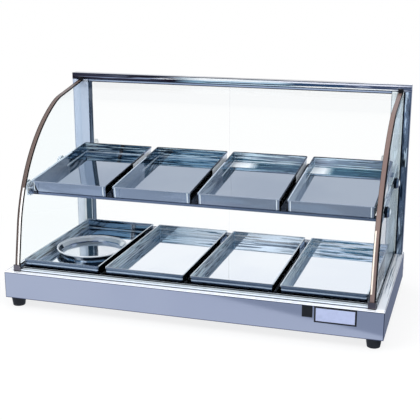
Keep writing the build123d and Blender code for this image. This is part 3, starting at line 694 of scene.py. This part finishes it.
@dataclass
class GlassHouse(SubAssembly):
    """Bent front glass, side panes, channels, arch strips, sockets, clips and knobs.

    The arch strips' bands are read across the strip: its left side, middle and right side.
    """

    channel_foot: float = 0.07
    strip: Range = (0.3, 0.4)

    def channels(self) -> None:
        """Dresses the channels on the deck, with a painted highlight and painted shade on them."""
        z0 = self.channel_foot
        # The front channel: a painted white highlight, a painted shadow line, and painted shade at its
        # foot.
        front = SteelFinish("channel_steel", srgb(196, 204, 216), srgb(170, 180, 196), 0.1, bands=(
            Band(srgb(236, 246, 255), z=(0.0762, 0.09), satin=0.9),
            Band(srgb(14, 20, 30), z=(0.079, 0.0808), dull=True),
            Band(srgb(24, 32, 42), z=(z0, 0.0752), dull=True)))
        self.put(front, "front_channel")
        # The side channels: a darker copy of the steel, and painted shade at their foot.
        side = SteelFinish("channel_shadowed", srgb(96, 108, 122), srgb(70, 82, 96), 0.1, Grain.ALONG_Y,
                           bands=(Band(CHANNEL_SHADE, z=(z0, 0.0768)),))
        self.put(side, "side_channel_left", "side_channel_right")

    def strips(self) -> None:
        """Dresses both arch strips with painted highlights and painted shade along their edges, and their
        sockets and clips.
        """
        across = partial(Band, both=True)
        black, low = srgb(30, 24, 24), self.strip[0]
        # Across each strip: a brown face, darker on the left strip, a pale painted highlight line low down,
        # and dark painted shade lines at its edges.
        left = (across(srgb(126, 108, 100), x=self.strip, satin=0.5),
                across(srgb(250, 248, 246), x=(0.348, 0.3512), z=(0.0, 0.235), satin=0.8),
                across(black, x=(low, 0.3474), dull=True),
                across(srgb(62, 52, 48), x=(0.3546, 0.4), dull=True))
        right = (across(srgb(150, 126, 118), x=self.strip, satin=0.5),
                 across(srgb(240, 226, 212), x=(0.3468, 0.3492), z=(0.1, 0.21), satin=0.7),
                 across(black, x=(low, 0.3462)),
                 across(black, x=(0.3543, 0.4)))
        for side, bands in zip(SIDES, (left, right)):
            metal = SteelFinish(f"strip_metal_{side}", srgb(178, 148, 138), srgb(150, 120, 112), 0.22,
                                Grain.ALONG_Z, 0.0002, (20, 6, 6), bands)
            self.put(metal, f"arch_{side}")
        # The sockets' foot inside the channel is painted dark: painted shade.
        bright = SteelFinish("socket_steel", srgb(150, 142, 144), srgb(120, 112, 116), 0.1, Grain.ALONG_Z,
                             bands=(Band(srgb(30, 28, 30), z=(self.channel_foot, 0.0757)),))
        self.put(bright, "arch_socket_left", "arch_socket_right")
        dark = PlainFinish("clip_dark", srgb(34, 32, 34), srgb(58, 52, 52), 0.35, metallic=0.6)
        self.put(dark, "arch_clip_left", "arch_clip_right")

    def dress(self) -> None:
        """Puts finishes on the glass and its holders."""
        self.put(ClearFinish("front_pane", (0.992, 1.0, 1.0), 1.1), "front_glass")
        pane = ClearFinish("side_pane", (0.955, 0.99, 1.0), 1.05)
        self.put(pane, "side_glass_left", "side_glass_right")
        self.channels()
        self.strips()
        # The right knobs carry a painted dark reflection and a painted highlight, side by side.
        knob = SteelFinish("knob_chrome", srgb(190, 200, 214), srgb(150, 160, 176), 0.05, Grain.ALONG_Z,
                           bands=(Band(srgb(24, 32, 42), x=(0.35, 0.3622), both=True),
                                  Band(srgb(232, 244, 250), x=(0.3664, 0.38), both=True,
                                       satin=0.7)))
        self.put(knob, "glass_knobs_right")
        # The left knobs are pale steel with a white satin band above 0.1 m: a painted white reflection.
        satin = SteelFinish("knob_satin", srgb(236, 240, 246), srgb(222, 228, 238), 0.2, Grain.ALONG_Z,
                            bands=(Band(srgb(242, 246, 251), z=(0.1, 0.4), satin=0.55),))
        self.put(satin, "glass_knobs_left")


@dataclass
class Shelf(SubAssembly):
    """Bars, rails and tray dividers of the upper shelf."""

    pitch: float = TRAY_PITCH
    tilt: float = SHELF_TILT
    divider_half: float = 0.0052
    divider_inset: float = 0.0008
    divider_height: float = 0.008

    def dress(self) -> None:
        """Puts finishes on the shelf's nodes."""
        steel = SteelFinish("shelf_steel", srgb(164, 176, 194), srgb(146, 158, 178), 0.12)
        self.put(steel, "shelf_front_bar", "shelf_rear_bar")
        # The rails carry a painted white reflection and painted dark streaks of reflection above 0.2 m.
        height = (0.2, 0.4)
        rail = SteelFinish("rail_steel", srgb(214, 228, 240), srgb(196, 212, 226), 0.12, Grain.ALONG_Y,
                           bands=(Band(srgb(240, 250, 255), z=height, satin=0.5),
                                  Band(srgb(120, 136, 152), z=height, streak=(60, 4, 260),
                                       cut=(0.57, 0.64))))
        self.put(rail, "shelf_rail_left", "shelf_rail_right")

    def build(self) -> None:
        """Makes the black rubber dividers that lie on both bars between the trays.

        A divider is a box whose Y and Z are turned by the shelf's tilt about the front bar's upper
        front edge, found from the front bar's box.
        """
        rubber = PlainFinish("divider_rubber", srgb(20, 28, 42), srgb(32, 42, 58), 0.6).make()
        low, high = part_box("shelf_front_bar")
        front, deep, top = float(low[1]), float(high[1] - low[1]), float(high[2])
        c, n = math.cos(self.tilt), math.sin(self.tilt)
        length = (float(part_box("shelf_rear_bar")[1][1]) - front) / c - self.divider_inset
        for i, x in enumerate((-self.pitch, 0.0, self.pitch), 1):
            verts, faces = box_arrays((x - self.divider_half, self.divider_inset, 0.0),
                                      (x + self.divider_half, length, self.divider_height))
            y, z = verts[:, 1].copy(), verts[:, 2].copy()
            verts[:, 1] = front + c * y - n * z
            verts[:, 2] = top - n * deep + n * y + c * z
            make_piece(f"tray_divider_{i}", verts, faces, rubber, Body.CASE, "black_rubber", 0.0006)


@dataclass
class Trays(SubAssembly):
    """Two tiers of four trays and the round dish.

    The bands follow the faces of a tray. Heights are counted from its underside, X from the left
    end of its pitch where a band repeats, and on the upper tier Y from the shelf's foot.
    """

    count: int = 4
    deck: float = 0.0742
    pitch: float = TRAY_PITCH
    shelf_tilt: float = SHELF_TILT
    shelf_foot: Range = (-0.1175, 0.2235)
    wall: Range = (0.0012, 0.0212)
    rim: Range = (0.0213, 0.03)
    floor: Range = (-0.001, 0.0012)
    fold: Range = (0.0015, 0.0025)
    left_face: Range = (0.0083, 0.009)
    right_face: Range = (0.1658, 0.168)
    upper_front: Range = (-0.01, 0.0016)
    upper_rear: Range = (0.2588, 0.2597)
    lower_front: Range = (-0.17, -0.1635)
    lower_rear: Range = (0.1408, 0.1417)
    line: Colour = srgb(226, 238, 248)
    black: Colour = srgb(20, 26, 36)
    white: Colour = srgb(246, 250, 255)
    navy: Colour = srgb(24, 42, 60)
    teal: Colour = srgb(70, 112, 134)
    pale: Colour = srgb(206, 226, 238)

    def upper_bands(self) -> Bands:
        """Painted reflections and painted shade on the upper trays: rear walls, left walls, floors, right
        walls, fronts and rims.
        """
        on = partial(Band, slope=self.shelf_tilt, foot=self.shelf_foot)
        rear = partial(on, y=self.upper_rear, z=self.wall)
        wall = partial(on, z=self.wall)
        left = partial(wall, x=self.left_face, period=self.pitch)
        right = partial(on, x=self.right_face, period=self.pitch)
        floor, rim = partial(on, z=self.floor), partial(on, z=self.rim)
        front = partial(wall, y=self.upper_front)
        side, back, near = (0.003, 0.259), (0.259, 0.4), (-0.01, 0.003)
        return (
            rear(srgb(160, 172, 190), x=(0.06, 0.4), fade=0.03, satin=0.5),
            rear(self.teal, x=(-0.4, 0.07), fade=0.03, streak=(7, 60, 260), cut=(0.46, 0.54), seed=2.0),
            rear(self.navy, streak=(11, 60, 330), cut=(0.55, 0.63)),
            rear(self.pale, streak=(9, 60, 420), cut=(0.52, 0.58), seed=3.0, satin=0.6),
            wall(srgb(140, 156, 178), x=(0.008, 0.0093), y=side, satin=0.35),
            wall(srgb(176, 190, 208), x=(0.182, 0.1834), y=side, satin=0.6),
            left(self.teal, y=(0.17, side[1]), streak=(60, 14, 200), cut=(0.46, 0.54), seed=4.0),
            left(self.navy, y=(0.175, side[1]), streak=(60, 22, 260), cut=(0.53, 0.58), seed=1.0),
            left(srgb(170, 184, 200), y=(0.003, 0.165), streak=(60, 11, 150), cut=(0.44, 0.57), seed=6.0,
                 satin=0.25),
            floor(srgb(150, 176, 186), x=(0.05, 0.1644), y=(0.214, side[1]), fade=0.02),
            floor(srgb(124, 168, 176), x=(0.212, 0.3384), y=(0.214, side[1]), fade=0.02),
            floor(self.white, x=(0.02, 0.046), y=(0.222, 0.254), fade=0.022, satin=1.0),
            floor(self.white, x=(0.186, 0.208), y=(0.215, 0.254), fade=0.02, satin=1.0),
            on(self.line, y=(0.16, 0.4), z=self.fold, satin=0.6),
            right(self.black, y=(0.0, 0.15), z=(-0.001, 0.0192), dull=True),
            right(self.white, y=(0.15, 0.3), z=(-0.001, 0.019), satin=1.0),
            on(srgb(120, 128, 148), y=self.upper_front, z=(0.0, self.wall[0])),
            front(srgb(208, 218, 226), x=(-0.345, 0.0)),
            front(srgb(206, 218, 232), streak=(7, 30, 46), cut=(0.49, 0.6), seed=5.0, satin=0.08),
            front(self.line, x=(0.0116, 0.0132), period=self.pitch, satin=0.8),
            front(self.line, x=(0.16, 0.1616), period=self.pitch, satin=0.8),
            rim(srgb(168, 180, 198), y=near, satin=0.4),
            rim(srgb(84, 96, 112), y=(near[1], 0.4)),
            rim(srgb(30, 40, 54), y=back),
            right(srgb(60, 70, 84), y=(near[1], 0.15), z=(0.0192, 0.03)),
            rim(srgb(198, 210, 224), x=(0.006, 0.009), y=(0.003, 0.19), period=self.pitch, satin=0.6))

    def lower_bands(self) -> Bands:
        """Painted reflections and painted shade on the lower trays: rear walls, left walls, the fold, right
        walls, fronts and rims.
        """
        foot = self.deck
        height = (foot + self.wall[0], foot + self.wall[1])
        rear = partial(Band, y=self.lower_rear, z=height)
        left = partial(Band, x=self.left_face, y=(-0.16, 0.14), z=height, period=self.pitch)
        front = partial(Band, y=self.lower_front)
        fold = (foot + self.fold[0], foot + self.fold[1])
        return (
            Band(srgb(222, 228, 236), z=height),
            rear(self.navy, x=(-0.4, -0.174), streak=(11, 60, 330), cut=(0.48, 0.56)),
            rear(srgb(252, 254, 255), x=(-0.174, 0.2), satin=0.1),
            rear(self.white, x=(-0.174, 0.4), streak=(8, 60, 300), cut=(0.52, 0.58), seed=3.0, satin=0.9),
            rear(srgb(96, 122, 142), x=(-0.174, 0.4), streak=(10, 60, 420), cut=(0.56, 0.62), seed=5.0),
            rear(self.teal, x=(0.21, 0.36), fade=0.03, streak=(9, 60, 200), cut=(0.5, 0.56), seed=8.0),
            left(srgb(206, 216, 226), satin=0.4),
            left(self.pale, streak=(60, 10, 240), cut=(0.46, 0.56), seed=6.0, satin=0.7),
            left(srgb(64, 80, 96), streak=(60, 16, 320), cut=(0.57, 0.62), seed=9.0),
            Band(self.line, y=(-0.161, 0.4), z=fold, satin=0.6),
            Band(self.black, x=self.right_face, y=(-0.17, 0.09), z=(0.07, foot + 0.0205), period=self.pitch,
                 dull=True),
            front(srgb(116, 132, 146), z=(0.07, foot + 0.0185)),
            front(srgb(186, 200, 214), z=(foot + 0.013, foot + 0.0148), satin=0.4),
            front(self.black, z=(0.07, foot + 0.0112), dull=True),
            front(srgb(142, 154, 166), z=(foot + 0.0186, 0.11)),
            Band(srgb(206, 216, 228), x=(0.006, 0.0084), y=(-0.17, -0.1642), period=self.pitch, satin=0.45),
            Band(srgb(196, 208, 220), y=(-0.1635, 0.2), z=(foot + 0.0213, 0.11), satin=0.5))

    def dish_bands(self) -> Bands:
        """What the dish reflects: its far inner wall pale, its near outer wall dark, its rim white."""
        foot, middle, near = self.deck, -0.0211, -0.12
        outer = partial(Band, y=(near, middle), z=(foot + 0.0032, foot + 0.01))
        return (
            Band(srgb(232, 238, 243), y=(middle, 0.08), z=(foot + 0.004, foot + 0.011), satin=0.5),
            outer(srgb(48, 60, 74)),
            outer(self.white, x=(-0.262, -0.255), fade=0.008, satin=0.8),
            Band(self.white, z=(foot + 0.0108, 0.11), satin=0.8))

    def dress(self) -> None:
        """Puts finishes on the trays and the dish."""
        polish = {"roughness": 0.03, "grain": Grain.ALONG_Y, "wave": 0.0003, "wave_scale": (5, 5, 5)}
        # The upper trays' steel is a darker copy of the lower trays': a painted difference in what they
        # reflect.
        upper = SteelFinish("tray_steel_upper", srgb(226, 229, 235), srgb(216, 220, 229), **polish,
                            bands=self.upper_bands())
        lower = SteelFinish("tray_steel_lower", srgb(240, 245, 252), srgb(232, 238, 248), **polish,
                            bands=self.lower_bands())
        for row, metal in (("upper", upper), ("lower", lower)):
            self.put(metal, *(f"tray_{row}_{i}" for i in range(1, self.count + 1)))
        dish = SteelFinish("dish_steel", srgb(232, 236, 242), srgb(216, 222, 231), 0.07, Grain.ALONG_X,
                           0.0002, (12, 12, 12), self.dish_bands())
        self.put(dish, "water_dish")


@dataclass
class HeatGear(SubAssembly):
    """Dial, lamp, thermostat, elements, clips, shield, terminal block and two bright rings."""

    ring_proud: float = 0.0006
    ring_steps: int = 72
    dial_ring: Range = (0.0176, 0.0196)
    lamp_ring: Range = (0.0083, 0.0099)
    mark_half: float = 0.0007
    mark_reach: Range = (0.004, 0.012)
    mark_depth: Range = (0.0002, 0.0004)

    def dress(self) -> None:
        """Puts finishes on the heating gear."""
        plastic = PlainFinish("dial_plastic", srgb(24, 24, 27), srgb(42, 42, 47), 0.38)
        self.put(plastic, "thermostat_dial", "thermostat_body")
        lens = PlainFinish("lamp_lens", srgb(214, 96, 28), srgb(188, 70, 18), 0.15, coat=0.5)
        self.put(lens, "pilot_lamp")
        sheath = PlainFinish("element_sheath", srgb(92, 86, 80), srgb(60, 52, 46), 0.45, metallic=0.9)
        self.put(sheath, "heating_elements")
        zinc = SteelFinish("clip_zinc", srgb(186, 188, 190), srgb(160, 162, 166), 0.3)
        self.put(zinc, "element_clips", "heat_shield")
        block = PlainFinish("block_ceramic", srgb(226, 222, 210), srgb(204, 198, 184), 0.5)
        self.put(block, "terminal_block")

    def build(self) -> None:
        """Makes the dial's raised mark and rings of bright steel round the dial and the lamp."""
        chrome = SteelFinish("ring_chrome", srgb(222, 226, 232), srgb(196, 202, 212), 0.08).make()
        white = PlainFinish("mark_white", srgb(240, 240, 238), srgb(222, 222, 218), 0.4).make()
        rear, proud = float(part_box("base_skirt_rear")[1][1]), self.ring_proud
        rings = (("dial_ring", "thermostat_dial", self.dial_ring),
                 ("lamp_ring", "pilot_lamp", self.lamp_ring))
        for name, node, (inner, outer) in rings:
            low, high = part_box(node)
            middle = (float(low[0] + high[0]) / 2, rear, float(low[2] + high[2]) / 2)
            profile = np.array([(0.0, outer), (0.0, inner), (proud, inner), (proud, outer - proud)])
            verts, faces = spun_arrays(profile[::-1], middle, self.ring_steps)
            make_piece(name, verts, faces, chrome, Body.CASE, "polished_steel")
        low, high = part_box("thermostat_dial")
        x, face, z = float(low[0] + high[0]) / 2, float(high[1]), float(low[2] + high[2]) / 2
        half, (foot, tip), (sunk, raised) = self.mark_half, self.mark_reach, self.mark_depth
        box = box_arrays((x - half, face - sunk, z + foot), (x + half, face + raised, z + tip))
        make_piece("dial_mark", *box, white, Body.DIAL, "block_white", 0.0002)


# Studio


@dataclass(frozen=True)
class Step:
    """A change of colour along an axis: where it begins and is full, and the colour after it."""

    ends: Range
    colour: Colour


def stepped(b: NodeBench, value: Socket, step: Step, under: object, smooth: bool = True) -> Socket:
    """Lays a step's colour over another one, from where the value passes the step."""
    return b.blend(b.span(value, *step.ends, smooth=smooth), under, step.colour)


@dataclass
class Studio:
    """Camera, pale floor, soft lamps and a white surround.

    Metal shows the floor in painted reflection tones: lavender under the case, darker past it, and a
    painted shadow beside the case's right side. It also shows the surround's rear and front half, each
    in its own colours. Their ranges are in metres on the floor, along the camera's line, X or Y. In
    the surround they are numbers of a direction, from -1 to 1.
    """

    camera_place: Triple = (0.5136, -1.6936, 0.6698)
    camera_turn: Triple = (math.radians(90 - 15.428), 0.0, math.radians(16.997))
    lens: float = 77.32
    sensor: float = 36.0
    clip: Range = (0.05, 60.0)
    floor_half: float = 6.0
    floor_paint: Colour = (0.86, 0.86, 0.87)
    glow_reach: Range = (0.42, 0.8)
    glow_share: Range = (0.8, 1.0)
    mirror_tone: Colour = (0.57, 0.63, 0.77)
    mirror_tone_front: Step = Step((0.348, 0.358), (0.33, 0.38, 0.5))
    mirror_tone_past: Step = Step((0.44, 0.53), (0.23, 0.28, 0.36))
    floor_far: Colour = (0.62, 0.7, 0.84)
    floor_far_front: Range = (1.2, 2.0)
    floor_far_left: Range = (-0.72, -0.84)
    painted_shadow_right: Colour = (0.2, 0.23, 0.32)
    painted_shadow_x: Range = (0.368, 0.376)
    painted_shadow_y: Range = (-0.22, -0.18)
    light: Colour = (0.95, 0.97, 1.0)
    light_strength: float = 0.75
    cloud_scale: Triple = (9.0, 9.0, 34.0)
    cloud_range: Range = (0.35, 0.65)
    cloud_tone: Range = (0.55, 1.45)
    turn_rear: Range = (0.25, -0.05)
    rear_high: Step = Step((0.37, 0.42), (0.5, 0.555, 0.64))
    rear_right: Step = Step((-0.03, 0.1), (0.2, 0.245, 0.3))
    front_left: Colour = (0.1, 0.17, 0.25)
    front_steps: tuple[Step, ...] = (
        Step((-0.4, -0.3), (0.19, 0.34, 0.46)),
        Step((-0.3, -0.2), (0.38, 0.5, 0.64)))
    pale: Colour = (0.7, 0.78, 0.86)
    pale_z: Range = (0.235, 0.275)
    pale_x: Range = (-0.36, -0.27)
    front_right: Step = Step((-0.08, 0.04), (0.1, 0.19, 0.28))
    front_high: Step = Step((0.55, 0.95), (0.4, 0.45, 0.55))
    lamp_aim: Triple = (0.0, 0.0, 0.2)
    lamps: tuple[tuple[str, Triple, float, float], ...] = (
        ("key", (-1.4, -1.6, 2.2), 1.6, 34.0),
        ("fill", (1.9, -1.2, 1.5), 1.4, 26.0),
        ("top", (0.0, 0.3, 2.4), 1.6, 18.0))

    def build_camera(self) -> None:
        """Makes the camera that the photograph was fitted with."""
        data = bpy.data.cameras.new("camera")
        data.lens, data.sensor_width = self.lens, self.sensor
        data.clip_start, data.clip_end = self.clip
        cam = bpy.data.objects.new("camera", data)
        cam.location, cam.rotation_euler = self.camera_place, self.camera_turn
        bpy.context.scene.collection.objects.link(cam)
        bpy.context.scene.camera = cam

    def build_floor(self) -> None:
        """Makes the pale floor.

        It is white where it is seen directly or through glass, and keeps the shadow. In metal it
        shows painted reflection tones: lavender under the case, darker past a line that runs across the
        camera's line, and a painted shadow beside the case's right side.
        """
        b = ShaderBench("floor_paint")
        fade = partial(b.span, smooth=True)
        soft = b.add("BsdfDiffuse", {"Color": (*self.floor_paint, 1)})
        x, y, _ = b.axes(b.place())
        turn = self.camera_turn[2]
        out = b.maths("SUBTRACT", b.maths("MULTIPLY", x, math.sin(turn)),
                      b.maths("MULTIPLY", y, math.cos(turn)))
        view = stepped(b, out, self.mirror_tone_front, self.mirror_tone, smooth=False)
        view = stepped(b, out, self.mirror_tone_past, view)
        past = b.maths("MAXIMUM", fade(out, *self.floor_far_front), fade(x, *self.floor_far_left))
        view = b.blend(past, view, self.floor_far)
        # A painted shadow on the floor beside the case's right side, seen only in metal.
        beside = b.maths("MULTIPLY", fade(x, *self.painted_shadow_x), b.span(y, *self.painted_shadow_y))
        view = b.blend(beside, view, self.painted_shadow_right)
        path = b.add("LightPath").outputs
        mirror = b.maths("GREATER_THAN", path["Glossy Depth"], 0.5)
        glow = b.add("Emission", {"Color": b.blend(mirror, PURE_WHITE, view), "Strength": 1.0})
        seen = b.maths("MAXIMUM", path["Is Camera Ray"], path["Is Transmission Ray"])
        seen = b.maths("MAXIMUM", seen, path["Is Glossy Ray"])
        away = b.add("VectorMath", {0: b.place()}, operation="LENGTH").outputs["Value"]
        white = fade(away, *self.glow_reach, *self.glow_share)
        share = b.maths("MULTIPLY", seen, b.maths("MAXIMUM", white, mirror))
        mix = b.add("MixShader", {0: share, 1: soft.outputs[0], 2: glow.outputs[0]})
        h = self.floor_half
        mesh = bpy.data.meshes.new("floor")
        mesh.from_pydata([(-h, -h, 0), (h, -h, 0), (h, h, 0), (-h, h, 0)], [], [(0, 1, 2, 3)])
        floor = bpy.data.objects.new("floor", mesh)
        floor.data.materials.append(b.finish(mix.outputs[0]))
        bpy.context.scene.collection.objects.link(floor)

    def build_lamps(self) -> None:
        """Makes the soft square lamps, each aimed at the case."""
        for name, place, size, power in self.lamps:
            data = bpy.data.lights.new(name, "AREA")
            data.shape, data.size, data.energy = "SQUARE", size, power
            lamp = bpy.data.objects.new(name, data)
            way = np.array(self.lamp_aim) - np.array(place)
            yaw = math.atan2(way[0], -way[1])
            pitch = math.acos(-way[2] / np.linalg.norm(way))
            lamp.location, lamp.rotation_euler = place, (pitch, 0.0, math.pi + yaw)
            lamp.visible_glossy = lamp.visible_transmission = False
            bpy.context.scene.collection.objects.link(lamp)

    def build_surround(self) -> None:
        """Makes the world.

        It is white where it is seen directly or through glass, streaked tones where metal shows
        it, and soft light otherwise.
        """
        world = bpy.data.worlds.new("surround")
        bpy.context.scene.world = world
        b = NodeBench(world)
        fade = partial(b.span, smooth=True)
        path = b.add("LightPath").outputs
        clear = b.maths("MAXIMUM", path["Is Camera Ray"], path["Is Transmission Ray"])
        seen = b.maths("MAXIMUM", clear, path["Is Glossy Ray"])
        x, y, z = b.axes(b.add("TexCoord").outputs["Generated"])
        way = b.add("TexCoord").outputs["Generated"]
        spot = b.add("Mapping", {"Vector": way, "Scale": self.cloud_scale}).outputs[0]
        cloud = b.noise(spot, 1.0, 3.0, 0.6)
        streak = b.span(cloud, *self.cloud_range, *self.cloud_tone)
        rear = stepped(b, z, self.rear_high, PURE_WHITE)
        to_right = fade(x, *self.rear_right.ends)
        rear = b.blend(to_right, rear, b.toned(streak, self.rear_right.colour))
        front: object = self.front_left
        for step in self.front_steps:
            front = stepped(b, x, step, front)
        above = b.maths("MULTIPLY", fade(z, *self.pale_z), fade(x, *self.pale_x))
        front = b.blend(above, front, self.pale)
        front = stepped(b, x, self.front_right, front)
        to_high = fade(z, *self.front_high.ends)
        front = b.blend(to_high, b.toned(streak, front), self.front_high.colour)
        studio = b.blend(fade(y, *self.turn_rear), rear, front)
        mirror = b.maths("GREATER_THAN", path["Glossy Depth"], 0.5)
        shown = b.blend(mirror, PURE_WHITE, studio)
        back = b.add("Background", {"Color": shown, "Strength": 1.0})
        light = b.add("Background", {"Color": (*self.light, 1), "Strength": self.light_strength})
        mix = b.add("MixShader", {0: seen, 1: light.outputs[0], 2: back.outputs[0]})
        b.add("OutputWorld", {"Surface": mix.outputs[0]})

    def build(self) -> None:
        """Builds the whole studio."""
        self.build_camera()
        self.build_floor()
        self.build_lamps()
        self.build_surround()
        bpy.context.scene.view_settings.view_transform = "Standard"


def main() -> None:
    """Loads the frame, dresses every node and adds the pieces."""
    logging.basicConfig(level=logging.INFO, format="%(name)s: %(message)s")
    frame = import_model()
    Studio().build()
    base = Base(frame)
    base.dress()
    base.build()
    shelf, gear = Shelf(frame), HeatGear(frame)
    for part in (RearFrame(frame), GlassHouse(frame), shelf, Trays(frame), gear):
        part.dress()
    shelf.build()
    gear.build()


if __name__ == "__main__":
    main()
